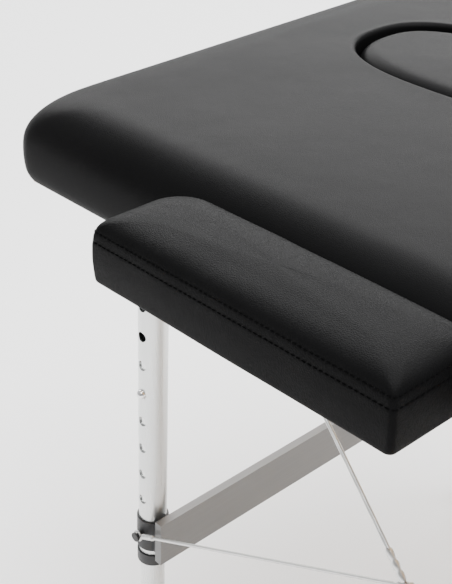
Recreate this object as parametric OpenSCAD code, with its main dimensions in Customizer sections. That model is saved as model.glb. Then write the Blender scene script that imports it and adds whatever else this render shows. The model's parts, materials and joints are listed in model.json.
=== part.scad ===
// Portable massage table: two padded halves hinged in the middle, each with a folding frame
// of two telescopic legs, cable braces, a lift-out face plug and a pair of side armrests.
// Origin on the floor under the middle hinge. Head end towards -X, near side towards -Y.

/* [Table] */
// Length of the open table
table_l = 1850; // [1800:10:1950]
// Width of the padded top
table_w = 650; // [620:10:700]
// Height of the padded top above the floor
top_z = 696; // [690:1:702]
// Thickness of the foam cushion
cushion_t = 50; // [40:1:50]
// Radius of the outer corners seen from above
corner_r = 34; // [20:1:60]

/* [Frame] */
// Height of a wooden rail
rail_h = 14; // [12:1:16]
// Thickness of a wooden rail
rail_t = 16; // [14:1:18]
// Thickness of the plywood deck
board_t = 8; // [6:1:9]
// Height of the padded side skirt below the deck
skirt_h = 22; // [16:1:24]
// Height of the middle hinge axis
hinge_z = 590; // [586:1:592]

/* [Legs] */
// Outer diameter of a leg tube
tube_d = 26; // [25:0.5:30]
// Distance of the leg pivot from the table's middle
pivot_x = 808; // [780:1:815]
// Height of the leg pivot
pivot_z = 611.5; // [610:0.5:612]
// Outward lean of an open leg
splay = 2.7; // [0:0.1:4]
// Half distance between the two legs of the head frame
head_leg_y = 274; // [272:1:276]
// Half distance between the two legs of the foot frame
foot_leg_y = 242; // [240:1:243]
// Spacing of the height holes
hole_pitch = 30; // [28:1:34]
// Number of height holes
hole_count = 8; // [5:1:8]

/* [Face hole] */
// Length of the face hole
hole_l = 240; // [200:5:260]
// Width of the face hole
hole_w = 142; // [120:2:160]
// Distance of the face hole's centre from the middle hinge
hole_x = 700; // [680:5:720]

/* [Armrests] */
// Length of an armrest pad
arm_l = 264; // [240:2:290]
// Width of an armrest pad
arm_w = 84; // [70:1:100]
// Thickness of an armrest pad
arm_t = 51; // [40:1:56]
// Distance of an armrest's middle from the middle hinge
arm_x = 574; // [560:2:590]
// Gap between the table's side and an armrest pad
arm_gap = 5; // [3:1:12]

/* [Hidden] */
$fn = 48;

gap = 0.3;               // clearance between soft solids of different bodies
half_l = table_l / 2;
half_w = table_w / 2;
board_top = top_z - cushion_t;
board_z = board_top - board_t;
rail_z = board_z - rail_h;
rail_y = half_w - 5;     // outer face of a side rail
rail_in = rail_y - rail_t;
rail_end = half_l - 20;  // outer face of an end rail
seam = 1;                // half gap between the two cushions
rail_gap = 2;            // half gap between the two frames
mid_rail_t = 38;
skirt_t = 4;

// Leg, measured along its own axis downwards from the pivot
tube_r = tube_d / 2;
tube_wall = 1.5;
tube_top = 12;
tube_end = 362;
bore_r = tube_r - tube_wall;
inner_r = bore_r - 0.08;
inner_wall = 1.5;
inner_top = 121.5;
inner_end = 602.5;
leg_len = pivot_z / cos(splay);
button_d = 170.5;
first_hole = button_d - 3 * hole_pitch;
bar_top = 307;
bar_h = 48;
bar_t = 8;
bar_off = 17.5;          // from a leg's axis to the crossbar's back face
eye_d = 332;             // where the brace cable is hooked to the leg
foot_r = 16;
foot_top = 578.5;
button_r = 4.5;
pivot_r = 4;
run_gap = 0.06;          // radial clearance of a running fit

// Armrest
arm_board_t = 4;
arm_bottom = board_top + arm_board_t + 1;
arm_in = half_w + arm_gap;
rod_r = 5;
rod_z = rail_z - 10;
guide_h = 18;
rod_in = 294;            // clear of a folded leg's snap button
rod_x = [arm_x - 66, arm_x + 58];
socket_y = 120;          // headrest sockets in the head end rail
socket_r = 5.25;

// Cables, in an upright plane just outside the legs
eye_r = 4.6;
cable_gap = 18;          // from a leg's axis to its cable plane
anchor_z = rail_z - 18;
stay_x = 657;
brace_x = 160;
join_x = 514;
join_z = 432;
brace_r = 1.5;
strand_r = 1;

// Handles
handle_r = 62;
handle_t = 5;
handle_sag = 36;         // below the skirt
handle_w = 20;
head_handle_x = 395;
foot_handle_x = 240;

// Puts its children in the head half, or mirrored in the foot half
module in_half(foot) {
    if (foot)
        mirror([1, 0, 0]) children();
    else
        children();
}

// Puts its children on the far side, or mirrored on the near side
module on_side(near) {
    if (near)
        mirror([0, 1, 0]) children();
    else
        children();
}

// Leg frame of reference: origin at the pivot, -Z along the leg, +Y outwards
module on_leg(foot, near) {
    leg_y = foot ? foot_leg_y : head_leg_y;
    in_half(foot)
        on_side(near)
            translate([-pivot_x, leg_y, pivot_z])
                rotate([0, splay, 0])
                    children();
}

// Tube along -Z between two distances from the pivot
module leg_rod(r, from, to) {
    translate([0, 0, -to]) cylinder(r = r, h = to - from);
}

// Round bar along Y
module y_rod(r, from, to) {
    translate([0, from, 0]) rotate([-90, 0, 0]) cylinder(r = r, h = to - from);
}

// Straight round bar in the XZ plane between two points
module xz_rod(r, a, b) {
    d = b - a;
    translate([a[0], 0, a[1]])
        rotate([0, atan2(d[0], d[1]), 0])
            cylinder(r = r, h = norm(d), $fn = 24);
}

// Plan outline of the head half, grown or shrunk, with its two outer corners rounded
module plan(inset) {
    r = corner_r - inset;
    x = half_l - inset;
    y = half_w - inset;
    translate([-x + r, -y]) square([x - r - seam, 2 * y]);
    translate([-x, -y + r]) square([r, 2 * (y - r)]);
    for (s = [-1, 1])
        translate([-x + r, s * (y - r)]) circle(r = r, $fn = 64);
}

// Face hole outline with round ends
module face_hole(inset) {
    r = hole_w / 2 - inset;
    run = (hole_l - hole_w) / 2;
    translate([-hole_x - run, -r]) square([2 * run, 2 * r]);
    for (s = [-1, 1])
        translate([-hole_x + s * run, 0]) circle(r = r, $fn = 64);
}

// ---- Padded halves -------------------------------------------------------

module cushion(foot) {
    color("#26272a")
        in_half(foot)
            translate([0, 0, board_top])
                linear_extrude(cushion_t)
                    difference() {
                        plan(0);
                        if (!foot) face_hole(0);
                    }
}

module skirt(foot) {
    color("#1d1e20")
        in_half(foot)
            translate([0, 0, board_top - skirt_h]) {
                for (s = [-1, 1])
                    translate([-half_l + corner_r, s > 0 ? half_w - skirt_t : -half_w, 0])
                        cube([half_l - corner_r - seam, skirt_t, skirt_h]);
                translate([-half_l, -half_w + corner_r, 0])
                    cube([skirt_t, table_w - 2 * corner_r, skirt_h]);
            }
}

module board(foot) {
    color("#c9a877")
        in_half(foot)
            translate([0, 0, board_z])
                linear_extrude(board_t)
                    difference() {
                        plan(skirt_t + 1);
                        if (!foot) face_hole(11);
                    }
}

module side_rail(foot, near) {
    color("#b98f5c")
        in_half(foot)
            on_side(near)
                translate([-rail_end, rail_in, rail_z])
                    cube([rail_end - rail_gap, rail_t, rail_h]);
}

module cross_rails(foot) {
    color("#b98f5c")
        in_half(foot)
            for (x = [[-rail_end, rail_t], [-rail_gap - mid_rail_t, mid_rail_t]])
                translate([x[0], -rail_in, rail_z])
                    cube([x[1], 2 * rail_in, rail_h]);
}

// ---- Hardware on the halves ----------------------------------------------

// Blocks under the head half's rails: guides for the armrest rods, sockets for a headrest
module rod_guides() {
    guide_w = 24;
    bottom = rail_z - guide_h;
    color("#2a2b2d")
        for (s = [-1, 1]) {
            for (x = rod_x)
                on_side(s < 0)
                    difference() {
                        translate([-x - guide_w / 2, rail_in, bottom])
                            cube([guide_w, rail_t, guide_h]);
                        translate([-x, 0, rod_z])
                            y_rod(rod_r + run_gap, rail_in - 1, rail_y + 1);
                    }
            difference() {
                translate([-rail_end, s * socket_y - guide_w / 2, bottom])
                    cube([rail_t, guide_w, guide_h]);
                translate([-rail_end - 1, s * socket_y, rod_z])
                    rotate([0, 90, 0])
                        cylinder(r = socket_r, h = rail_t + 2);
            }
        }
}

bracket_half = 18;
plate_t = 3;

module leg_brackets(foot) {
    leg_y = foot ? foot_leg_y : head_leg_y;
    side = tube_r + 0.5;
    color("#8d9093")
        for (near = [false, true])
            in_half(foot)
                on_side(near)
                    translate([-pivot_x, leg_y, 0])
                        difference() {
                            union() {
                                for (y = [-side - plate_t, side])
                                    translate([-bracket_half, y, pivot_z - 14])
                                        cube([2 * bracket_half, plate_t, board_z - pivot_z + 14]);
                                translate([-bracket_half, -side, board_z - plate_t])
                                    cube([2 * bracket_half, 2 * side, plate_t]);
                            }
                            translate([0, 0, pivot_z])
                                y_rod(pivot_r + run_gap, -side - 5, side + 5);
                        }
}

module pivot_bolts(foot) {
    leg_y = foot ? foot_leg_y : head_leg_y;
    side = tube_r + 0.5 + plate_t;
    color("#c4c7ca")
        for (near = [false, true])
            in_half(foot)
                on_side(near)
                    translate([-pivot_x, leg_y, pivot_z]) {
                        y_rod(pivot_r, -side - 4, side);
                        y_rod(7, side, side + 3.5);
                        translate([0, -side, 0])
                            rotate([90, 30, 0])
                                cylinder(r = 7.5, h = 4, $fn = 6);
                    }
}

hinge_y = 200;
leaf_w = 60;
leaf_l = 32;
leaf_t = 3;
knuckle_r = 6;
pin_r = 3;

// One knuckle with its web and the strip of leaf above it, between two Y values
module knuckle(from, to) {
    y_rod_at_hinge(knuckle_r, from, to);
    translate([-13, from, hinge_z + 1])
        cube([12, to - from, rail_z - leaf_t - hinge_z - 1 + 0.5]);
}

module y_rod_at_hinge(r, from, to) {
    translate([0, 0, hinge_z]) y_rod(r, from, to);
}

module hinge_leaves(foot) {
    third = leaf_w / 3;
    color("#b9bcbf")
        for (s = [-1, 1])
            translate([0, s * hinge_y, 0])
                difference() {
                    in_half(foot) {
                        translate([-rail_gap - leaf_l - 4, -leaf_w / 2, rail_z - leaf_t])
                            cube([leaf_l + 4, leaf_w, leaf_t]);
                        if (foot) {
                            knuckle(-third / 2 + 0.2, third / 2 - 0.2);
                        } else {
                            knuckle(-leaf_w / 2, -third / 2);
                            knuckle(third / 2, leaf_w / 2);
                        }
                    }
                    y_rod_at_hinge(pin_r + run_gap, -leaf_w, leaf_w);
                }
}

module hinge_pins() {
    color("#d0d3d6")
        for (s = [-1, 1])
            translate([0, s * hinge_y, 0]) {
                y_rod_at_hinge(pin_r, -leaf_w / 2 - 1, leaf_w / 2 + 1);
                y_rod_at_hinge(5, leaf_w / 2, leaf_w / 2 + 2);
                y_rod_at_hinge(5, -leaf_w / 2 - 2, -leaf_w / 2);
            }
}

module bumpers(foot) {
    color("#151515")
        in_half(foot)
            for (s = [-1, 1])
                for (p = [[rail_end - rail_t / 2, hinge_y], [rail_gap + mid_rail_t / 2, hinge_y / 2]])
                    translate([-p[0], s * p[1], hinge_z + 0.5])
                        cylinder(r = 7, h = rail_z - hinge_z - 0.5);
}

module cable_anchors(foot) {
    cable_y = (foot ? foot_leg_y : head_leg_y) + cable_gap;
    color("#a3a6a9")
        for (near = [false, true])
            in_half(foot)
                on_side(near)
                    for (x = [stay_x, brace_x])
                        translate([-x, 0, 0]) {
                            translate([-9, cable_y + 3, rail_z - 3])
                                cube([18, rail_y - cable_y - 3, 3]);
                            translate([-6, cable_y + 3, anchor_z - 7])
                                cube([12, 2.5, rail_z - anchor_z + 6]);
                            translate([0, 0, anchor_z])
                                y_rod(2.5, cable_y - 3, cable_y + 4);
                        }
}

module handle(foot) {
    x = foot ? foot_handle_x : head_handle_x;
    bottom = board_top - skirt_h;
    low = bottom - handle_sag;
    color("#18191b")
        in_half(foot)
            translate([-x, -half_w, 0]) {
                rotate([90, 0, 0])
                    linear_extrude(handle_w)
                        intersection() {
                            translate([0, low + handle_r])
                                difference() {
                                    circle(r = handle_r, $fn = 96);
                                    circle(r = handle_r - handle_t, $fn = 96);
                                }
                            translate([-handle_r, low - 1])
                                square([2 * handle_r, bottom + 6 - low + 1]);
                        }
                for (s = [-1, 1])
                    translate([s * (handle_r - 7) - 9, -4, bottom - 2])
                        cube([18, 4, 18]);
            }
}

// Brace cable from the leg up to the rail, and a doubled stay from the rail to its middle
module cable(foot, near) {
    cable_y = (foot ? foot_leg_y : head_leg_y) + cable_gap;
    leg_eye = [-pivot_x - eye_d * sin(splay), pivot_z - eye_d * cos(splay)];
    rail_eye = [-brace_x, anchor_z];
    join = [-join_x, join_z];
    stay_eye = [-stay_x, anchor_z];
    along = (rail_eye - leg_eye) / norm(rail_eye - leg_eye);
    down = (join - stay_eye) / norm(join - stay_eye);
    side = [down[1], -down[0]];
    color("#b4b6b8")
        in_half(foot)
            on_side(near)
                translate([0, cable_y, 0]) {
                    for (p = [leg_eye, rail_eye, stay_eye])
                        translate([p[0], 0, p[1]])
                            rotate([90, 0, 0])
                                rotate_extrude()
                                    translate([eye_r, 0])
                                        circle(r = 1.4, $fn = 16);
                    xz_rod(brace_r, leg_eye + along * eye_r, rail_eye - along * eye_r);
                    xz_rod(2.6, leg_eye + along * (eye_r + 3), leg_eye + along * (eye_r + 21));
                    xz_rod(2.6, rail_eye - along * (eye_r + 3), rail_eye - along * (eye_r + 21));
                    for (s = [-1, 1])
                        xz_rod(strand_r, stay_eye + down * eye_r + side * s * 0.7,
                               join - down * 14 + side * s * 1.3);
                    xz_rod(2.4, stay_eye + down * (eye_r + 3), stay_eye + down * (eye_r + 18));
                    xz_rod(3, join - down * 30, join - down * 3);
                    xz_rod(3.4, join - along * 7, join + along * 7);
                }
}

// ---- Leg frames -----------------------------------------------------------

module outer_tube(foot, near) {
    color("#cfd1d0")
        on_leg(foot, near)
            difference() {
                leg_rod(tube_r, -tube_top, tube_end);
                leg_rod(bore_r, -tube_top - 1, tube_end + 1);
                y_rod(pivot_r + run_gap, -tube_r - 1, tube_r + 1);
                for (i = [0 : hole_count - 1])
                    translate([0, 0, -first_hole - i * hole_pitch])
                        y_rod(button_r + 0.2, 5, tube_r + 1);
            }
}

module crossbar(foot) {
    leg_y = foot ? foot_leg_y : head_leg_y;
    color("#9b9b9a")
        in_half(foot)
            translate([-pivot_x, 0, pivot_z])
                rotate([0, splay, 0])
                    translate([bar_off, -leg_y - 12, -bar_top - bar_h])
                        cube([bar_t, 2 * leg_y + 24, bar_h]);
}

module clamps(foot) {
    color("#3a3b3d")
        for (near = [false, true])
            on_leg(foot, near) {
                difference() {
                    union() {
                        leg_rod(tube_r + 1.8, bar_top + 8, bar_top + bar_h - 6);
                        translate([0, -9, -bar_top - bar_h + 6])
                            cube([bar_off, 18, bar_h - 14]);
                    }
                    leg_rod(tube_r, 0, tube_end + 10);
                }
                translate([0, 0, -eye_d]) {
                    y_rod(2.5, tube_r + 1.5, tube_r + 8);
                    y_rod(4.5, tube_r + 7, tube_r + 9);
                }
            }
}

module collars(foot) {
    color("#2a2b2d")
        for (near = [false, true])
            on_leg(foot, near)
                difference() {
                    leg_rod(tube_r + 1.5, tube_end - 6, tube_end + 6);
                    leg_rod(tube_r, tube_end - 7, tube_end);
                    leg_rod(bore_r, tube_end - 1, tube_end + 7);
                }
}

// ---- Telescopic inner legs --------------------------------------------------

module inner_leg(foot, near) {
    color("#dcdedd")
        on_leg(foot, near)
            difference() {
                leg_rod(inner_r, inner_top, inner_end);
                leg_rod(inner_r - inner_wall, inner_top - 1, inner_end + 1);
                translate([0, 0, -button_d])
                    y_rod(button_r + 0.1, 5, tube_r + 1);
            }
}

module rubber_foot(foot, near) {
    color("#17181a")
        intersection() {
            on_leg(foot, near)
                difference() {
                    leg_rod(foot_r, foot_top, leg_len + 4);
                    leg_rod(inner_r, foot_top - 1, inner_end);
                }
            translate([-table_l, -table_w, 0])
                cube([2 * table_l, 2 * table_w, 200]);
        }
}

module snap_button(foot, near) {
    color("#e4e6e8")
        on_leg(foot, near)
            translate([0, 0, -button_d]) {
                y_rod(button_r, 8.4, tube_r);
                translate([0, tube_r, 0]) sphere(r = button_r);
                translate([-4, 7.6, -14]) cube([8, 0.8, 44]);
            }
}

// ---- Face plug --------------------------------------------------------------

module plug_board() {
    color("#c9a877")
        translate([0, 0, board_top])
            linear_extrude(4) face_hole(2);
}

module plug_cushion() {
    color("#26272a")
        translate([0, 0, board_top + 4])
            linear_extrude(cushion_t - 4) face_hole(gap);
}

// ---- Armrests -----------------------------------------------------------------

module arm_pad(near) {
    r = 16;
    color("#222326")
        on_side(near)
            translate([-arm_x - arm_l / 2, arm_in, arm_bottom])
                linear_extrude(arm_t) {
                    translate([r, 0]) square([arm_l - 2 * r, arm_w]);
                    translate([0, r]) square([arm_l, arm_w - 2 * r]);
                    for (x = [r, arm_l - r])
                        for (y = [r, arm_w - r])
                            translate([x, y]) circle(r = r);
                }
}

module arm_board(near) {
    margin = 10;
    color("#1c1c1d")
        on_side(near)
            translate([-arm_x - arm_l / 2 + margin, arm_in + margin, arm_bottom - arm_board_t])
                cube([arm_l - 2 * margin, arm_w - 2 * margin, arm_board_t]);
}

// Upright steel plate with a top flange, welded to two rods that push into the side rail
module arm_bracket(near) {
    plate_y = arm_in + 6;
    plate_x = rod_x[1] + 14;
    plate_l = rod_x[1] - rod_x[0] + 28;
    top = arm_bottom - arm_board_t;
    color("#3c3d40")
        on_side(near) {
            translate([-plate_x, plate_y, rod_z - 8])
                cube([plate_l, 4, top - rod_z + 8]);
            translate([-plate_x, plate_y, top - 3])
                cube([plate_l, 60, 3]);
            for (x = rod_x)
                translate([-x, 0, rod_z])
                    y_rod(rod_r, rod_in, plate_y + 1);
        }
}

// ---- Output -------------------------------------------------------------------

cushion(false);  // head_cushion
skirt(false);  // head_skirt
board(false);  // head_board
side_rail(false, true);  // head_rail_near
side_rail(false, false);  // head_rail_far
cross_rails(false);  // head_cross_rails
leg_brackets(false);  // head_leg_brackets
pivot_bolts(false);  // head_pivot_bolts
hinge_leaves(false);  // head_hinge_leaves
hinge_pins();
rod_guides();
bumpers(false);  // head_bumpers
cable_anchors(false);  // head_cable_anchors
handle(false);  // head_handle
cable(false, true);  // head_cable_near
cable(false, false);  // head_cable_far
cushion(true);  // foot_cushion
skirt(true);  // foot_skirt
board(true);  // foot_board
side_rail(true, true);  // foot_rail_near
side_rail(true, false);  // foot_rail_far
cross_rails(true);  // foot_cross_rails
leg_brackets(true);  // foot_leg_brackets
pivot_bolts(true);  // foot_pivot_bolts
hinge_leaves(true);  // foot_hinge_leaves
bumpers(true);  // foot_bumpers
cable_anchors(true);  // foot_cable_anchors
handle(true);  // foot_handle
cable(true, true);  // foot_cable_near
cable(true, false);  // foot_cable_far
outer_tube(false, true);  // head_tube_near
outer_tube(false, false);  // head_tube_far
crossbar(false);  // head_crossbar
clamps(false);  // head_clamps
collars(false);  // head_collars
outer_tube(true, true);  // foot_tube_near
outer_tube(true, false);  // foot_tube_far
crossbar(true);  // foot_crossbar
clamps(true);  // foot_clamps
collars(true);  // foot_collars
inner_leg(false, true);  // head_leg_near
inner_leg(false, false);  // head_leg_far
inner_leg(true, true);  // foot_leg_near
inner_leg(true, false);  // foot_leg_far
rubber_foot(false, true);  // head_foot_near
rubber_foot(false, false);  // head_foot_far
rubber_foot(true, true);  // foot_foot_near
rubber_foot(true, false);  // foot_foot_far
snap_button(false, true);  // head_button_near
snap_button(false, false);  // head_button_far
snap_button(true, true);  // foot_button_near
snap_button(true, false);  // foot_button_far
plug_cushion();
plug_board();
arm_pad(true);  // arm_near_pad
arm_board(true);  // arm_near_board
arm_bracket(true);  // arm_near_bracket
arm_pad(false);  // arm_far_pad
arm_board(false);  // arm_far_board
arm_bracket(false);  // arm_far_bracket
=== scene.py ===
"""Portable massage table: covers, stitching, grips, wire braces and finishes on the CAD frame."""

import json
import math

import bmesh
import bpy
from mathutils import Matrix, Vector, noise


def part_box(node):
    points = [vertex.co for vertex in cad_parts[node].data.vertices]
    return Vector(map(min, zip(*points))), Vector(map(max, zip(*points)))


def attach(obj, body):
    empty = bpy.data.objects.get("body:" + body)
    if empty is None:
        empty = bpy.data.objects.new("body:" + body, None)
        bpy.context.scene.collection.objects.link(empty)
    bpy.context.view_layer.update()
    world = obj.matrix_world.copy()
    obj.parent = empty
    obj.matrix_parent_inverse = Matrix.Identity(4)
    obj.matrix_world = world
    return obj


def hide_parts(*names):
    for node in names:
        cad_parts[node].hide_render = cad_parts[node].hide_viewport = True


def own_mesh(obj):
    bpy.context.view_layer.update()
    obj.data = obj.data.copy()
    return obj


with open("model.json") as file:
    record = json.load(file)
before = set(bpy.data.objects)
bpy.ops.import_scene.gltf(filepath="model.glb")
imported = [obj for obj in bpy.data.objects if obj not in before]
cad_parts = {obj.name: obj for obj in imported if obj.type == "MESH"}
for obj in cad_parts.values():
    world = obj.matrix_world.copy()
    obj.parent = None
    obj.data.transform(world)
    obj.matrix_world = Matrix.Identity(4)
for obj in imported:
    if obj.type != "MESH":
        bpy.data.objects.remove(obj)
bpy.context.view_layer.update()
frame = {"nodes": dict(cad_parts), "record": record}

SENSOR_MM = 36.0

# ---- Camera ---------------------------------------------------------------------

CAMERA_PLACE = (-0.0919, -0.8609, 1.0920)
CAMERA_AZIMUTH = 47.09
CAMERA_ELEVATION = 30.76
CAMERA_LENS = 80.4


def make_camera():
    data = bpy.data.cameras.new("camera")
    data.lens = CAMERA_LENS
    data.sensor_width = SENSOR_MM
    data.clip_start = 0.02
    camera = bpy.data.objects.new("camera", data)
    camera.location = CAMERA_PLACE
    camera.rotation_euler = (
        math.radians(90 - CAMERA_ELEVATION), 0, math.radians(CAMERA_AZIMUTH))
    bpy.context.collection.objects.link(camera)
    bpy.context.scene.camera = camera


# ---- Materials --------------------------------------------------------------------

def new_material(name, **values):
    """A node material and its principled shader, with plain values set on the shader."""
    material = bpy.data.materials.new(name)
    material.use_nodes = True
    shader = material.node_tree.nodes["Principled BSDF"]
    for key, value in values.items():
        shader.inputs[key.replace("_", " ")].default_value = value
    return material, shader


def node(material, kind, **values):
    made = material.node_tree.nodes.new(kind)
    for key, value in values.items():
        if hasattr(made, key):
            setattr(made, key, value)
        else:
            made.inputs[key.replace("_", " ")].default_value = value
    return made


def link(material, source, target):
    material.node_tree.links.new(source, target)


def object_coords(material, scale=(1, 1, 1)):
    coords = node(material, "ShaderNodeTexCoord")
    mapping = node(material, "ShaderNodeMapping")
    mapping.inputs["Scale"].default_value = scale
    link(material, coords.outputs["Object"], mapping.inputs["Vector"])
    return mapping.outputs["Vector"]


def noise_node(material, vector, scale, detail=4.0, rough=0.55):
    made = node(material, "ShaderNodeTexNoise", Scale=scale, Detail=detail, Roughness=rough)
    link(material, vector, made.inputs["Vector"])
    return made.outputs["Fac"]


def ramp(material, value, low, high, start=0.3, end=0.7):
    made = node(material, "ShaderNodeValToRGB")
    stops = made.color_ramp.elements
    stops[0].position, stops[0].color = start, (*low, 1)
    stops[1].position, stops[1].color = end, (*high, 1)
    link(material, value, made.inputs["Fac"])
    return made.outputs["Color"]


def map_range(material, value, low, high, start=0.3, end=0.7):
    made = node(material, "ShaderNodeMapRange")
    for key, number in (("From Min", start), ("From Max", end), ("To Min", low), ("To Max", high)):
        made.inputs[key].default_value = number
    link(material, value, made.inputs["Value"])
    return made.outputs["Result"]


def bump(material, height, distance, strength=1.0, under=None):
    made = node(material, "ShaderNodeBump", Distance=distance, Strength=strength)
    link(material, height, made.inputs["Height"])
    if under is not None:
        link(material, under, made.inputs["Normal"])
    return made.outputs["Normal"]


def leather(name, tone, grain, depth, roughness):
    """Imitation leather: cell grain with fine creases between the cells and a slight gloss."""
    material, shader = new_material(name, Specular_IOR_Level=0.026)
    vector = object_coords(material)
    cells = node(material, "ShaderNodeTexVoronoi", feature="DISTANCE_TO_EDGE", Scale=grain)
    wobble = node(material, "ShaderNodeTexNoise", Scale=grain * 0.35, Detail=3.0)
    link(material, vector, wobble.inputs["Vector"])
    shift = node(material, "ShaderNodeVectorMath", operation="MULTIPLY_ADD")
    shift.inputs[1].default_value = (1.2 / grain,) * 3
    link(material, wobble.outputs["Color"], shift.inputs[0])
    link(material, vector, shift.inputs[2])
    link(material, shift.outputs["Vector"], cells.inputs["Vector"])
    pebble = map_range(material, cells.outputs["Distance"], 0.0, 1.0, 0.0, 0.22)
    pores = noise_node(material, vector, grain * 2.3, 2.0)
    soft = noise_node(material, vector, 16.0, 2.0)
    fine = bump(material, pores, depth * 0.5, 0.6)
    coarse = bump(material, pebble, depth, 0.8, fine)
    link(material, bump(material, soft, 0.0012, 0.5, coarse), shader.inputs["Normal"])
    wear = noise_node(material, vector, 5.0, 4.0)
    darker = tuple(0.72 * c for c in tone)
    link(material, ramp(material, wear, darker, tone), shader.inputs["Base Color"])
    link(material, map_range(material, wear, roughness - 0.03, roughness + 0.04),
         shader.inputs["Roughness"])
    return material


def wood(name, light, dark, stretch, scale, roughness):
    """Straight-grained timber or veneer: stretched noise bands with pores."""
    material, shader = new_material(name, Specular_IOR_Level=0.4, Coat_Weight=0.15,
                                    Coat_Roughness=0.3)
    vector = object_coords(material, stretch)
    bands = noise_node(material, vector, scale, 6.0, 0.62)
    fibres = noise_node(material, vector, scale * 7, 3.0)
    link(material, ramp(material, bands, dark, light, 0.35, 0.65), shader.inputs["Base Color"])
    link(material, map_range(material, fibres, roughness - 0.08, roughness + 0.1),
         shader.inputs["Roughness"])
    link(material, bump(material, fibres, 0.0002, 0.5), shader.inputs["Normal"])
    return material


def metal(name, tone, roughness, stretch=(1, 1, 1), scale=300.0, metallic=1.0, depth=0.00002):
    """Metal with a fine drawn or brushed texture along one direction, and faint blotches."""
    material, shader = new_material(name, Metallic=metallic)
    vector = object_coords(material, stretch)
    lines = noise_node(material, vector, scale, 4.0, 0.6)
    cloud = noise_node(material, object_coords(material), 9.0, 3.0)
    darker = tuple(0.93 * c for c in tone)
    link(material, ramp(material, cloud, darker, tone), shader.inputs["Base Color"])
    link(material, map_range(material, lines, roughness - 0.05, roughness + 0.06),
         shader.inputs["Roughness"])
    link(material, bump(material, lines, depth, 0.5), shader.inputs["Normal"])
    return material


def moulded(name, tone, roughness, scale=900.0, depth=0.00008):
    """Moulded plastic, rubber or powder coat: fine even pitting."""
    material, shader = new_material(name, Specular_IOR_Level=0.4)
    vector = object_coords(material)
    pits = noise_node(material, vector, scale, 3.0)
    cloud = noise_node(material, vector, 22.0, 4.0)
    lighter = tuple(min(1.0, 1.35 * c) for c in tone)
    link(material, ramp(material, cloud, tone, lighter), shader.inputs["Base Color"])
    link(material, map_range(material, cloud, roughness - 0.05, roughness + 0.07),
         shader.inputs["Roughness"])
    link(material, bump(material, pits, depth, 0.6), shader.inputs["Normal"])
    return material


def webbing(name, tone):
    """Woven webbing: two crossed waves, with a faint fuzz."""
    material, shader = new_material(name, Specular_IOR_Level=0.05, Sheen_Weight=0.02)
    vector = object_coords(material)
    across = node(material, "ShaderNodeTexWave", Scale=260.0, Distortion=0.4)
    along = node(material, "ShaderNodeTexWave", bands_direction="Y", Scale=330.0, Distortion=0.4)
    for wave in (across, along):
        link(material, vector, wave.inputs["Vector"])
    weave = node(material, "ShaderNodeMath", operation="MAXIMUM")
    link(material, across.outputs["Fac"], weave.inputs[0])
    link(material, along.outputs["Fac"], weave.inputs[1])
    lighter = tuple(2.2 * c for c in tone)
    link(material, ramp(material, weave.outputs[0], tone, lighter), shader.inputs["Base Color"])
    fuzz = noise_node(material, vector, 700.0, 3.0)
    link(material, map_range(material, fuzz, 0.7, 0.92), shader.inputs["Roughness"])
    link(material, bump(material, weave.outputs[0], 0.0004, 0.8), shader.inputs["Normal"])
    return material


MATERIALS = {
    "table_leather": leather("table_leather", (0.0050, 0.0050, 0.0052), 800.0, 0.00006, 0.39),
    "armrest_leather": leather("armrest_leather", (0.0045, 0.0045, 0.0047), 640.0, 0.00014, 0.39),
    "black_board": moulded("black_board", (0.012, 0.012, 0.012), 0.6),
    "plywood": wood("plywood", (0.62, 0.44, 0.26), (0.46, 0.30, 0.16), (1, 9, 9), 7.0, 0.45),
    "beech": wood("beech", (0.56, 0.37, 0.21), (0.40, 0.24, 0.12), (1, 12, 12), 10.0, 0.4),
    "black_steel": moulded("black_steel", (0.016, 0.016, 0.017), 0.42),
    "zinc_steel": metal("zinc_steel", (0.62, 0.63, 0.65), 0.34, scale=160.0),
    "rubber": moulded("rubber", (0.014, 0.014, 0.014), 0.7, 600.0),
    "webbing": webbing("webbing", (0.006, 0.006, 0.006)),
    "wire_rope": metal("wire_rope", (0.66, 0.66, 0.65), 0.38, scale=500.0),
    "satin_aluminium": metal("satin_aluminium", (0.66, 0.67, 0.665), 0.30, (1, 1, 0.02), 420.0),
    "grey_bar": metal("grey_bar", (0.195, 0.195, 0.194), 0.5, (1, 0.03, 1), 380.0, 0.5),
    "black_plastic": moulded("black_plastic", (0.016, 0.016, 0.017), 0.5),
    "inner_aluminium": metal("inner_aluminium", (0.72, 0.73, 0.725), 0.27, (1, 1, 0.02), 420.0),
    "chrome": metal("chrome", (0.85, 0.85, 0.86), 0.14, scale=200.0),
    "thread": leather("thread", (0.0016, 0.0016, 0.0017), 2500.0, 0.00003, 0.7),
}


def paint_cad_nodes():
    slots = {s["node"]: s["material_slot"] for s in frame["record"]["subparts"]}
    for name, cad in frame["nodes"].items():
        cad.data.materials.clear()
        cad.data.materials.append(MATERIALS[slots[name]])


# ---- Mesh helpers -------------------------------------------------------------------

def make_piece(name, verts, faces, material):
    mesh = bpy.data.meshes.new(name)
    mesh.from_pydata([tuple(v) for v in verts], [], faces)
    mesh.validate()
    mesh.polygons.foreach_set("use_smooth", [True] * len(mesh.polygons))
    mesh.materials.append(MATERIALS[material])
    piece = bpy.data.objects.new(name, mesh)
    bpy.context.collection.objects.link(piece)
    return piece


def skin(rings, close_first=False, close_last=False):
    """Verts and faces of a surface through closed rings that all have the same count."""
    count = len(rings[0])
    verts = [v for ring in rings for v in ring]
    faces = []
    for k in range(len(rings) - 1):
        for i in range(count):
            j = (i + 1) % count
            faces.append((k * count + i, k * count + j, (k + 1) * count + j, (k + 1) * count + i))
    if close_first:
        faces.append(tuple(reversed(range(count))))
    if close_last:
        start = (len(rings) - 1) * count
        faces.append(tuple(range(start, start + count)))
    return verts, faces


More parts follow.
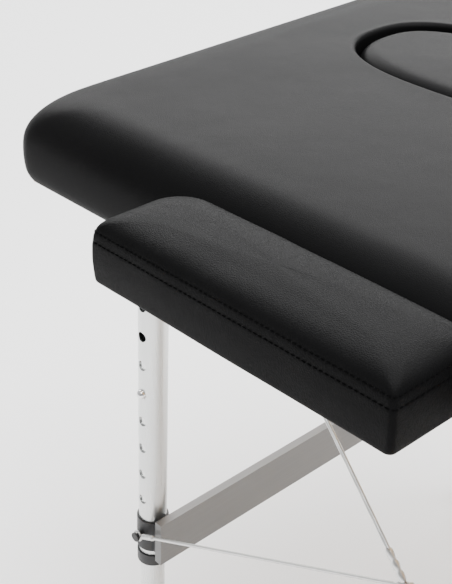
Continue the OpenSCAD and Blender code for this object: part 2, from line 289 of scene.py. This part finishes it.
def add_to(mesh_parts, verts, faces):
    start = len(mesh_parts[0])
    mesh_parts[0].extend(verts)
    mesh_parts[1].extend(tuple(start + i for i in face) for face in faces)


CORNER_STEPS = 8


def rounded_plan(low, high, radii, cuts):
    """Points round a rectangle with rounded corners, in (x, y), with evenly spaced sides.
    radii are those of the corners at (low x, low y), (high x, low y), (high x, high y) and
    (low x, high y). cuts are the steps along an x side and along a y side."""
    corners = [(low[0], low[1], 180), (high[0], low[1], 270), (high[0], high[1], 0),
               (low[0], high[1], 90)]
    points = []
    for k, (x, y, start) in enumerate(corners):
        r = radii[k]
        inward = (1 if x == low[0] else -1, 1 if y == low[1] else -1)
        centre = (x + inward[0] * r, y + inward[1] * r)
        for i in range(CORNER_STEPS + 1):
            angle = math.radians(start + 90 * i / CORNER_STEPS)
            points.append((centre[0] + r * math.cos(angle), centre[1] + r * math.sin(angle)))
        after = corners[(k + 1) % 4]
        r_next = radii[(k + 1) % 4]
        turn = math.radians(start + 90)
        end_inward = (1 if after[0] == low[0] else -1, 1 if after[1] == low[1] else -1)
        end = (after[0] + end_inward[0] * r_next + r_next * math.cos(turn),
               after[1] + end_inward[1] * r_next + r_next * math.sin(turn))
        begin = points[-1]
        for i in range(1, cuts[k % 2]):
            t = i / cuts[k % 2]
            points.append((begin[0] + (end[0] - begin[0]) * t, begin[1] + (end[1] - begin[1]) * t))
    return points


def subdivide(piece, levels=1):
    modifier = piece.modifiers.new("subdivide", "SUBSURF")
    modifier.levels = levels
    modifier.render_levels = levels
    apply_modifiers(piece)
    close_holes(piece)


def close_holes(piece):
    """Caps every open end of a piece with one face, so that it is a closed solid."""
    mesh = bmesh.new()
    mesh.from_mesh(piece.data)
    bmesh.ops.holes_fill(mesh, edges=[e for e in mesh.edges if e.is_boundary])
    mesh.to_mesh(piece.data)
    mesh.free()


def smooth_moves(piece, moves, held, rounds=40):
    """Evens out how far neighbouring points move, so that a swollen cover has no creases."""
    beside = [[] for _ in moves]
    for edge in piece.data.edges:
        a, b = edge.vertices
        beside[a].append(b)
        beside[b].append(a)
    for _ in range(rounds):
        moves = [Vector() if k in held else sum((moves[i] for i in beside[k]), moves[k])
                 / (len(beside[k]) + 1) for k in range(len(moves))]
    return moves


def swell(piece, pinned, pressure, cap, frames=12):
    """Inflates a cover by cloth simulation, holding the points that pinned() picks, and lets no
    point move further than cap."""
    before = [v.co.copy() for v in piece.data.vertices]
    held = {v.index for v in piece.data.vertices if pinned(v.co)}
    group = piece.vertex_groups.new(name="held")
    group.add(sorted(held), 1.0, "REPLACE")
    cloth = piece.modifiers.new("cloth", "CLOTH")
    settings = cloth.settings
    settings.use_pressure = True
    settings.uniform_pressure_force = pressure
    settings.vertex_group_mass = "held"
    settings.effector_weights.gravity = 0
    settings.quality = 6
    scene = bpy.context.scene
    scene.frame_start, scene.frame_end = 1, frames
    cloth.point_cache.frame_start, cloth.point_cache.frame_end = 1, frames
    for step in range(1, frames + 1):
        scene.frame_set(step)
    graph = bpy.context.evaluated_depsgraph_get()
    after = [v.co.copy() for v in piece.evaluated_get(graph).data.vertices]
    piece.modifiers.clear()
    moves = []
    for old, new in zip(before, after):
        move = new - old
        moves.append(move * (cap / max(cap, move.length)))
    moves = smooth_moves(piece, moves, held)
    for vertex, old, move in zip(piece.data.vertices, before, moves):
        vertex.co = old + move
    piece.vertex_groups.clear()
    scene.frame_set(1)


def apply_modifiers(piece):
    graph = bpy.context.evaluated_depsgraph_get()
    made = bpy.data.meshes.new_from_object(piece.evaluated_get(graph))
    piece.modifiers.clear()
    piece.data = made
    made.polygons.foreach_set("use_smooth", [True] * len(made.polygons))


# ---- Padded top -----------------------------------------------------------------------

EDGE_ROLL = 0.040        # how far the soft edge reaches into the top
EDGE_DROP = 0.042
SEAM_ROLL = 0.010        # the same at the middle seam
CORNER_R = 0.022
PLAN_CUTS = (34, 24)

HEAD_LOW, HEAD_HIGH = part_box("head_cushion")
TOP_Z = HEAD_HIGH.z
SKIRT_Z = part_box("head_skirt")[0].z
COVER_FOOT_Z = HEAD_LOW.z + 0.0006     # the covers' underside, just off the plywood
HOLE_RIM = 0.0045        # radius of the face hole's rim
HOLE_GAP = 0.0012        # between the plug and the hole's wall
PLUG_ROLL = 0.017        # radius of the plug's rolled edge
PLUG_LOW, PLUG_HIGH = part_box("plug_cushion")


def edge_profile():
    """(share of the roll inwards, height) from under the lip, up the side and over the edge."""
    lip = [(0.115, SKIRT_Z + 0.0125), (0.115, SKIRT_Z + 0.0020), (0.100, SKIRT_Z + 0.0006),
           (0.062, SKIRT_Z + 0.0022), (0.028, SKIRT_Z + 0.0060), (0.008, SKIRT_Z + 0.0110),
           (0.0, SKIRT_Z + 0.0190), (0.0, SKIRT_Z + 0.0270)]
    steps = 9
    roll = []
    for i in range(steps + 1):
        angle = math.radians(90 * i / steps)
        height = TOP_Z - EDGE_DROP + EDGE_DROP * math.sin(angle)
        roll.append((1 - math.cos(angle), height))
    return lip + roll[1:]


def top_sag(x, y):
    """Small unevenness of the foam, and a light crown across the width."""
    crown = 0.0016 * (1 - (y / HEAD_HIGH.y) ** 2)
    return crown + 0.0009 * noise.noise(Vector((x * 4.2, y * 4.2, 1.7)))


def hole_outline(angle, grow=0.0):
    """Point on the face hole's outline, a superellipse, grown outwards by grow."""
    power = 2 / 2.5
    half_l = (PLUG_HIGH.x - PLUG_LOW.x) / 2 + grow
    half_w = (PLUG_HIGH.y - PLUG_LOW.y) / 2 + grow
    c, s = math.cos(angle), math.sin(angle)
    centre = (PLUG_HIGH.x + PLUG_LOW.x) / 2
    return (centre + half_l * math.copysign(abs(c) ** power, c),
            half_w * math.copysign(abs(s) ** power, s))


def cover_rings(low_x, high_x, seam_at_high):
    """Rings of the padded cover from the lip under the side to the end of the edge roll."""
    rings = []
    for share, z in edge_profile():
        outer = share * EDGE_ROLL
        seam = share * SEAM_ROLL
        low = (low_x + (outer if seam_at_high else seam), HEAD_LOW.y + outer)
        high = (high_x - (seam if seam_at_high else outer), HEAD_HIGH.y - outer)
        big = CORNER_R + 0.75 * outer
        small = 0.008 + 0.5 * outer
        radii = (big, small, small, big) if seam_at_high else (small, big, big, small)
        plan = rounded_plan(low, high, radii, PLAN_CUTS)
        rings.append([(x, y, z) for x, y in plan])
    return rings


def closing_rings(edge, centre, shares):
    """Rings from an edge ring in to a small one round the centre, over the crowned top."""
    rings = []
    for share in shares:
        ring = []
        for x, y, _ in edge:
            px = centre[0] + (x - centre[0]) * share
            py = centre[1] + (y - centre[1]) * share
            ring.append((px, py, TOP_Z + top_sag(px, py) * min(1.0, (1 - share) * 6)))
        rings.append(ring)
    return rings


def make_head_cover():
    rings = cover_rings(HEAD_LOW.x, HEAD_HIGH.x, True)
    edge = rings[-1]
    centre = Vector(((PLUG_HIGH.x + PLUG_LOW.x) / 2, 0))
    angles = [math.atan2(y - centre.y, x - centre.x) for x, y, _ in edge]
    hole_top = [hole_outline(a, HOLE_GAP + HOLE_RIM) for a in angles]
    for share in (0.06, 0.14, 0.24, 0.36, 0.48, 0.6, 0.72, 0.82, 0.90, 0.96):
        ring = []
        for (x, y, _), (hx, hy) in zip(edge, hole_top):
            px, py = x + (hx - x) * share, y + (hy - y) * share
            ring.append((px, py, TOP_Z + top_sag(px, py) * min(1.0, share * 6)))
        rings.append(ring)
    for i in range(7):
        turn = math.radians(90 * i / 6)
        grow = HOLE_GAP + HOLE_RIM * (1 - math.sin(turn))
        z = TOP_Z + top_sag(centre.x, 0) - HOLE_RIM * (1 - math.cos(turn))
        rings.append([(*hole_outline(a, grow), z) for a in angles])
    rings.append([(*hole_outline(a, HOLE_GAP), COVER_FOOT_Z) for a in angles])
    inner = [(x, y, COVER_FOOT_Z) for x, y, _ in rings[0]]
    rings = [inner] + rings
    verts, faces = skin(rings)
    count = len(rings[0])
    last = (len(rings) - 1) * count
    for i in range(count):
        j = (i + 1) % count
        faces.append((last + i, last + j, j, i))
    piece = make_piece("head_cover", verts, faces, "table_leather")
    subdivide(piece, 1)
    return piece


def make_foot_cover():
    low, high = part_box("foot_cushion")
    rings = cover_rings(low.x, high.x, False)
    centre = ((low.x + high.x) / 2, 0)
    rings += closing_rings(rings[-1], centre, (0.96, 0.88, 0.76, 0.6, 0.44, 0.28, 0.14, 0.04))
    rings = [[(x, y, COVER_FOOT_Z) for x, y, _ in rings[0]]] + rings
    verts, faces = skin(rings)
    piece = make_piece("foot_cover", verts, faces, "table_leather")
    subdivide(piece, 1)
    return piece


def make_plug_cover():
    """The face plug's cushion: a swollen pad with a rolled edge, nearly flush with the top."""
    steps = 72
    angles = [2 * math.pi * i / steps for i in range(steps)]
    low = PLUG_LOW.z + 0.0006
    top = TOP_Z + top_sag(PLUG_LOW.x, 0) - 0.0008
    roll = PLUG_ROLL
    rings = [[(*hole_outline(a, -0.0035), low) for a in angles],
             [(*hole_outline(a, -0.0012), low + 0.004) for a in angles]]
    for i in range(7):
        turn = math.radians(90 * i / 6)
        grow = -0.0008 - roll * (1 - math.cos(turn))
        z = top - roll * (1 - math.sin(turn))
        rings.append([(*hole_outline(a, grow), z) for a in angles])
    for share in (0.8, 0.55, 0.3, 0.1):
        grown = [hole_outline(a, -0.0008 - roll) for a in angles]
        centre = (PLUG_HIGH.x + PLUG_LOW.x) / 2
        z = top + 0.0010 * (1 - share)
        rings.append([(centre + (x - centre) * share, y * share, z) for x, y in grown])
    verts, faces = skin(rings)
    piece = make_piece("plug_cover", verts, faces, "table_leather")
    subdivide(piece, 1)
    return piece


# ---- Armrests -------------------------------------------------------------------------

PAD_RADII = (0.0030, 0.0040, 0.014, 0.022)
STITCH_PITCH = 0.0044
STITCH_LENGTH = 0.0032
THREAD_R = 0.00036
PAD_PRESSURE = 3.0
PAD_SWELL = 0.0016       # the furthest that a point of the pad's cover swells
LOWER_ROW = 0.0315       # height of the two stitch rows above the pad's bottom
UPPER_ROW = 0.0390


def pad_profile():
    """(inset, height above the pad's bottom) of an armrest, from under it to its crown."""
    side = [(0.012, 0.0002), (0.0030, 0.0002), (0.0010, 0.0007), (0.0003, 0.0022),
            (0.0001, 0.0060), (-0.0002, 0.0130), (-0.0003, 0.0200), (0.0000, 0.0250)]
    seam = [(0.0001, LOWER_ROW - 0.0010), (0.0006, LOWER_ROW), (0.0004, LOWER_ROW + 0.0010),
            (0.0009, UPPER_ROW - 0.0014), (0.0017, UPPER_ROW), (0.0017, UPPER_ROW + 0.0010)]
    crown = [(0.0031, 0.0432), (0.0062, 0.0460), (0.0108, 0.0482), (0.0168, 0.0496),
             (0.0240, 0.0505)]
    return side, seam, crown


def ring_at(low, high, inset, z):
    """One ring of an armrest pad: the plan drawn in by inset."""
    widest = 0.47 * (high.y - low.y - 2 * inset)
    radii = [min(widest, r + 0.55 * max(0.0, inset)) for r in PAD_RADII]
    plan = rounded_plan((low.x + inset, low.y + inset), (high.x - inset, high.y - inset),
                        radii, (48, 14))
    return [(x, y, low.z + z) for x, y in plan]


def pucker(x, y, z, height):
    """Small gathers that run down from the seam, stronger near the ends of the pad."""
    fade = math.exp(-abs(height - UPPER_ROW) / 0.006)
    wave = noise.noise(Vector((x * 160, y * 160, z * 60)))
    broad = noise.noise(Vector((x * 22 + 3, y * 22, z * 30)))
    return 0.0003 * wave * fade + 0.0005 * broad


def make_pad(name, near, node_name):
    low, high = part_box(node_name)
    if not near:
        low, high = Vector((low.x, -high.y, low.z)), Vector((high.x, -low.y, high.z))
    side, seam, crown = pad_profile()
    low = Vector((low.x + 0.001, low.y + 0.001, low.z))
    high = Vector((high.x - 0.001, high.y - 0.001, high.z))
    centre = (low + high) / 2
    rings = [ring_at(low, high, inset, z) for inset, z in side + seam + crown]
    edge = rings[-1]
    for share in (0.86, 0.70, 0.52, 0.34, 0.16, 0.05):
        height = edge[0][2] + 0.0012 * (1 - share ** 2)
        rings.append([(centre.x + (x - centre.x) * share, centre.y + (y - centre.y) * share,
                       height) for x, y, _ in edge])
    shaped = []
    for ring in rings:
        line = []
        for x, y, z in ring:
            push = pucker(x, y, z, z - low.z)
            out = Vector(((x - centre.x) / (high.x - centre.x),
                          (y - centre.y) / (high.y - centre.y)))
            out = Vector((out.x ** 5, out.y ** 5, 0))
            rise = push if z - low.z > UPPER_ROW else 0.0
            line.append((x + out.x * push, y + out.y * push, z + rise))
        shaped.append(line)
    if not near:
        shaped = [[(x, -y, z) for x, y, z in reversed(ring)] for ring in shaped]
    verts, faces = skin(shaped)
    piece = make_piece(name, verts, faces, "armrest_leather")
    rows = (low.z + LOWER_ROW, low.z + UPPER_ROW)

    def held(point):
        return point.z < low.z + 0.002 or any(abs(point.z - row) < 0.0007 for row in rows)
    swell(piece, held, PAD_PRESSURE, PAD_SWELL)
    subdivide(piece, 1)
    return piece


def capsule(start, end, radius, out):
    """A short raised thread from start to end, bowed outwards along out."""
    axis = (end - start).normalized()
    side = axis.cross(out).normalized()
    rings = []
    for t in (0.0, 0.12, 0.5, 0.88, 1.0):
        swell = radius * (0.35 if t in (0.0, 1.0) else 1.0)
        centre = start.lerp(end, t) + out * (radius * 0.9 * math.sin(math.pi * t))
        rings.append([centre + side * (swell * math.cos(a)) + out * (swell * math.sin(a))
                      for a in (2 * math.pi * i / 6 for i in range(6))])
    return skin(rings, close_first=True, close_last=True)


def stitch_row(parts, pad, outline, height, inset_out):
    """Threads laid round a pad at one height, each end dropped onto the cover's surface."""
    lengths = [0.0]
    loop = outline + [outline[0]]
    for a, b in zip(loop, loop[1:]):
        lengths.append(lengths[-1] + (b - a).length)
    count = round(lengths[-1] / STITCH_PITCH)
    pitch = lengths[-1] / count

    def place(distance):
        distance %= lengths[-1]
        k = max(i for i, length in enumerate(lengths[:-1]) if length <= distance)
        a, b = loop[k], loop[k + 1]
        t = (distance - lengths[k]) / (lengths[k + 1] - lengths[k])
        out = Vector((b.y - a.y, a.x - b.x, 0)).normalized()
        probe = a.lerp(b, t) + out * inset_out
        found, spot, normal, _ = pad.closest_point_on_mesh(Vector((probe.x, probe.y, height)))
        return spot + normal * 0.00012, normal

    for i in range(count):
        start, n1 = place(i * pitch)
        end, n2 = place(i * pitch + STITCH_LENGTH)
        add_to(parts, *capsule(start, end, THREAD_R, (n1 + n2).normalized()))


def make_pad_stitches(name, pad, near, node_name):
    low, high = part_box(node_name)
    if not near:
        low, high = Vector((low.x, -high.y, low.z)), Vector((high.x, -low.y, high.z))
    plan = rounded_plan((low.x + 0.002, low.y + 0.002), (high.x - 0.002, high.y - 0.002),
                        PAD_RADII, (12, 4))
    flip = 1 if near else -1
    outline = [Vector((x, flip * y, 0)) for x, y in plan]
    if not near:
        outline.reverse()
    parts = ([], [])
    for row in (LOWER_ROW, UPPER_ROW):
        stitch_row(parts, pad, outline, low.z + row, 0.0)
    return make_piece(name, parts[0], parts[1], "thread")


# ---- Carry handles ----------------------------------------------------------------------

def handle_path(node_name, steps=28):
    """Centre line of a handle's sagging grip, from one tab to the other."""
    low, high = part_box(node_name)
    middle = (low.x + high.x) / 2
    half = (high.x - low.x) / 2 - 0.010
    top = high.z - 0.009
    drop = top - low.z - 0.005
    y = low.y + 0.0085
    path = []
    for i in range(steps + 1):
        t = -1 + 2 * i / steps
        sag = 1 - abs(t) ** 2.4
        toward = 0.0095 * (abs(t) ** 6)
        path.append(Vector((middle + half * t, y + toward, top - drop * sag)))
    return path


def sweep(path, width, thickness, side, power=0.7, count=20, taper=None):
    """Rings of a soft oval strap along a path. side is the direction of its width."""
    rings = []
    for i, point in enumerate(path):
        ahead = path[min(i + 1, len(path) - 1)] - path[max(i - 1, 0)]
        across = (side - ahead.normalized() * side.dot(ahead.normalized())).normalized()
        up = across.cross(ahead.normalized())
        size = 1.0 if taper is None else taper(i / (len(path) - 1))
        ring = []
        for k in range(count):
            a = 2 * math.pi * k / count
            c, s = math.cos(a), math.sin(a)
            ring.append(point + across * (width / 2 * math.copysign(abs(c) ** power, c))
                        + up * (thickness / 2 * size * math.copysign(abs(s) ** power, s)))
        rings.append(ring)
    return rings


def make_handle(name, node_name, body):
    """Padded grip on a webbing strap whose ends are screwed to the side rail."""
    path = handle_path(node_name)
    side = Vector((0, 1, 0))
    strap = sweep(path, 0.0165, 0.0024, side)
    verts, faces = skin(strap, close_first=True, close_last=True)
    band = make_piece(name + "_strap", verts, faces, "webbing")
    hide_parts(node_name)
    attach(band, body)

    def fatter(t):
        return 0.45 + 0.55 * math.sin(math.pi * t) ** 0.35
    middle = path[7:-7]
    padding = sweep(middle, 0.0168, 0.0095, side, 0.8, 24, fatter)
    verts, faces = skin(padding, close_first=True, close_last=True)
    grip = make_piece(name + "_grip", verts, faces, "webbing")
    subdivide(grip)
    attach(grip, body)

    low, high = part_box(node_name)
    parts = ([], [])
    for x in (path[0].x, path[-1].x):
        rings = []
        for y, r in ((0.0, 0.0048), (-0.0012, 0.0048), (-0.0022, 0.0034), (-0.0025, 0.0012)):
            centre_z = high.z - 0.009
            rings.append([(x + r * math.cos(a), high.y - 0.0030 + y, centre_z + r * math.sin(a))
                          for a in (2 * math.pi * i / 20 for i in range(20))])
        add_to(parts, *skin(rings, close_first=True, close_last=True))
    screws = make_piece(name + "_screws", parts[0], parts[1], "zinc_steel")
    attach(screws, body)


# ---- Wire braces ---------------------------------------------------------------------------

FERRULE_R = 0.0027
ROPE_R = 0.0015
STRAND_R = 0.0010
LAY_LENGTH = 0.016
STAY_X = 0.657
EYE_R = 0.0046           # middle line of the eyes at the ends of the ropes
JOINT_AT = 0.4666        # where the stay meets the brace, as a share of the brace


def frame_at(a, b):
    axis = (b - a).normalized()
    side = axis.cross(Vector((0, 1, 0))).normalized()
    return axis, side, axis.cross(side)


def rope(parts, a, b, radius, lay=LAY_LENGTH, step=0.002):
    """A twisted wire rope: six lobes that turn round the axis as they go along."""
    axis, side, up = frame_at(a, b)
    length = (b - a).length
    count = max(2, round(length / step))
    rings = []
    for i in range(count + 1):
        z = length * i / count
        ring = []
        for k in range(18):
            angle = 2 * math.pi * k / 18
            lobe = 1 + 0.10 * math.cos(6 * (angle - 2 * math.pi * z / lay))
            r = radius * lobe
            ring.append(a + axis * z + side * (r * math.cos(angle)) + up * (r * math.sin(angle)))
        rings.append(ring)
    add_to(parts, *skin(rings, close_first=True, close_last=True))


def sleeve(parts, a, b, radius):
    """A crimped ferrule with rounded ends and two pressed waists."""
    axis, side, up = frame_at(a, b)
    length = (b - a).length
    shape = [(0.0, 0.62), (0.03, 0.86), (0.08, 1.0), (0.26, 1.0), (0.31, 0.84), (0.37, 0.84),
             (0.42, 1.0), (0.58, 1.0), (0.63, 0.84), (0.69, 0.84), (0.74, 1.0), (0.92, 1.0),
             (0.97, 0.86), (1.0, 0.62)]
    rings = [[a + axis * (t * length) + side * (s * radius * math.cos(w))
              + up * (s * radius * math.sin(w)) for w in (2 * math.pi * i / 24 for i in range(24))]
             for t, s in shape]
    add_to(parts, *skin(rings, close_first=True, close_last=True))


def eye(parts, centre, radius, wire):
    """A round eye in the XZ plane, of rope bent round a stud."""
    rings = []
    for i in range(36):
        a = 2 * math.pi * i / 36
        out = Vector((math.cos(a), 0, math.sin(a)))
        beside = Vector((0, wire, 0))
        rings.append([centre + out * (radius + wire * math.cos(w)) + beside * math.sin(w)
                      for w in (2 * math.pi * k / 12 for k in range(12))])
    rings.append(rings[0])
    add_to(parts, *skin(rings))


def make_cable(half, side, body):
    """Brace from the leg up to the side rail, and the doubled stay that holds its middle."""
    node_name = f"{half}_cable_{side}"
    low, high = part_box(node_name)
    y = (low.y + high.y) / 2
    ring = 0.0060
    flip = 1 if half == "head" else -1
    edge = low.x if half == "head" else high.x
    inner = high.x if half == "head" else low.x
    leg = Vector((edge + flip * ring, y, low.z + ring))
    rail = Vector((inner - flip * ring, y, high.z - ring))
    stay = Vector((-STAY_X * flip, y, rail.z))
    join = leg.lerp(rail, JOINT_AT)
    ropes, ferrules = ([], []), ([], [])
    along = (rail - leg).normalized()
    down = (join - stay).normalized()
    across = down.cross(Vector((0, 1, 0)))
    rope(ropes, leg + along * EYE_R, rail - along * EYE_R, ROPE_R)
    for s in (-1, 1):
        rope(ropes, stay + down * 0.005 + across * (s * 0.0007),
             join - down * 0.014 + across * (s * 0.0013), STRAND_R, 0.011)
    for centre in (leg, rail, stay):
        eye(ropes, centre, EYE_R, 0.0012)
    for a, b in ((leg + along * 0.0076, leg + along * 0.0256),
                 (rail - along * 0.0076, rail - along * 0.0256),
                 (stay + down * 0.0076, stay + down * 0.0226)):
        sleeve(ferrules, a, b, FERRULE_R)
    sleeve(ferrules, join - down * 0.030, join - down * 0.003, 0.0031)
    sleeve(ferrules, join - along * 0.007, join + along * 0.007, 0.0034)
    for parts, tail in ((ropes, "rope"), (ferrules, "ferrules")):
        piece = make_piece(f"{half}_{side}_{tail}", parts[0], parts[1], "wire_rope")
        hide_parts(node_name)
        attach(piece, body)
        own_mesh(piece)


# ---- Studio -----------------------------------------------------------------------------------

FLOOR_REACH = 14.0
BRIGHT_SIDE = (-0.62, 0.40, 0.68)      # the direction that the surroundings are brightest in

def soft_light(name, place, target, size, power):
    data = bpy.data.lights.new(name, "AREA")
    data.shape = "RECTANGLE"
    data.size, data.size_y = size
    data.energy = power
    light = bpy.data.objects.new(name, data)
    light.location = place
    light.rotation_euler = (Vector(target) - Vector(place)).to_track_quat("-Z", "Y").to_euler()
    bpy.context.collection.objects.link(light)


def make_studio():
    mesh = bpy.data.meshes.new("floor")
    reach = FLOOR_REACH
    corners = [(-reach, -reach, 0), (reach, -reach, 0), (reach, reach, 0), (-reach, reach, 0)]
    mesh.from_pydata(corners, [], [(0, 1, 2, 3)])
    floor = bpy.data.objects.new("floor", mesh)
    bpy.context.collection.objects.link(floor)
    material, shader = new_material("floor", Base_Color=(0.92, 0.92, 0.92, 1), Roughness=0.9)
    shader.inputs["Specular IOR Level"].default_value = 0.1
    mesh.materials.append(material)
    world = bpy.data.worlds.new("studio")
    world.use_nodes = True
    sky = world.node_tree
    coords = sky.nodes.new("ShaderNodeTexCoord")
    toward = sky.nodes.new("ShaderNodeVectorMath")
    toward.operation = "DOT_PRODUCT"
    toward.inputs[1].default_value = BRIGHT_SIDE
    level = sky.nodes.new("ShaderNodeMapRange")
    for key, value in (("From Min", -0.6), ("From Max", 0.9), ("To Min", 0.40), ("To Max", 1.05)):
        level.inputs[key].default_value = value
    sky.links.new(coords.outputs["Generated"], toward.inputs[0])
    sky.links.new(toward.outputs["Value"], level.inputs["Value"])
    sky.links.new(level.outputs["Result"], sky.nodes["Background"].inputs["Color"])
    bpy.context.scene.world = world
    soft_light("back_left", (-3.4, 2.6, 3.1), (-0.6, 0, 0.6), (6.0, 4.0), 400)
    soft_light("overhead", (0.4, 0.2, 3.8), (0, 0, 0), (4.0, 3.0), 400)


# ---- Assembly -----------------------------------------------------------------------------------

make_camera()
paint_cad_nodes()

head_cover = make_head_cover()
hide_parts("head_cushion", "head_skirt")
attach(head_cover, "head_section")

foot_cover = make_foot_cover()
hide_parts("foot_cushion", "foot_skirt")
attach(foot_cover, "foot_section")

plug_cover = make_plug_cover()
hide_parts("plug_cushion")
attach(plug_cover, "face_plug")

for which in ("near", "far"):
    pad = make_pad(f"armrest_{which}_cover", which == "near", f"arm_{which}_pad")
    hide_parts(f"arm_{which}_pad")
    stitches = make_pad_stitches(f"armrest_{which}_stitches", pad, which == "near",
                                 f"arm_{which}_pad")
    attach(pad, f"armrest_{which}")
    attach(stitches, f"armrest_{which}")

make_handle("head_handle_soft", "head_handle", "head_section")
make_handle("foot_handle_soft", "foot_handle", "foot_section")

for which_half in ("head", "foot"):
    for which in ("near", "far"):
        make_cable(which_half, which, f"{which_half}_section")

make_studio()
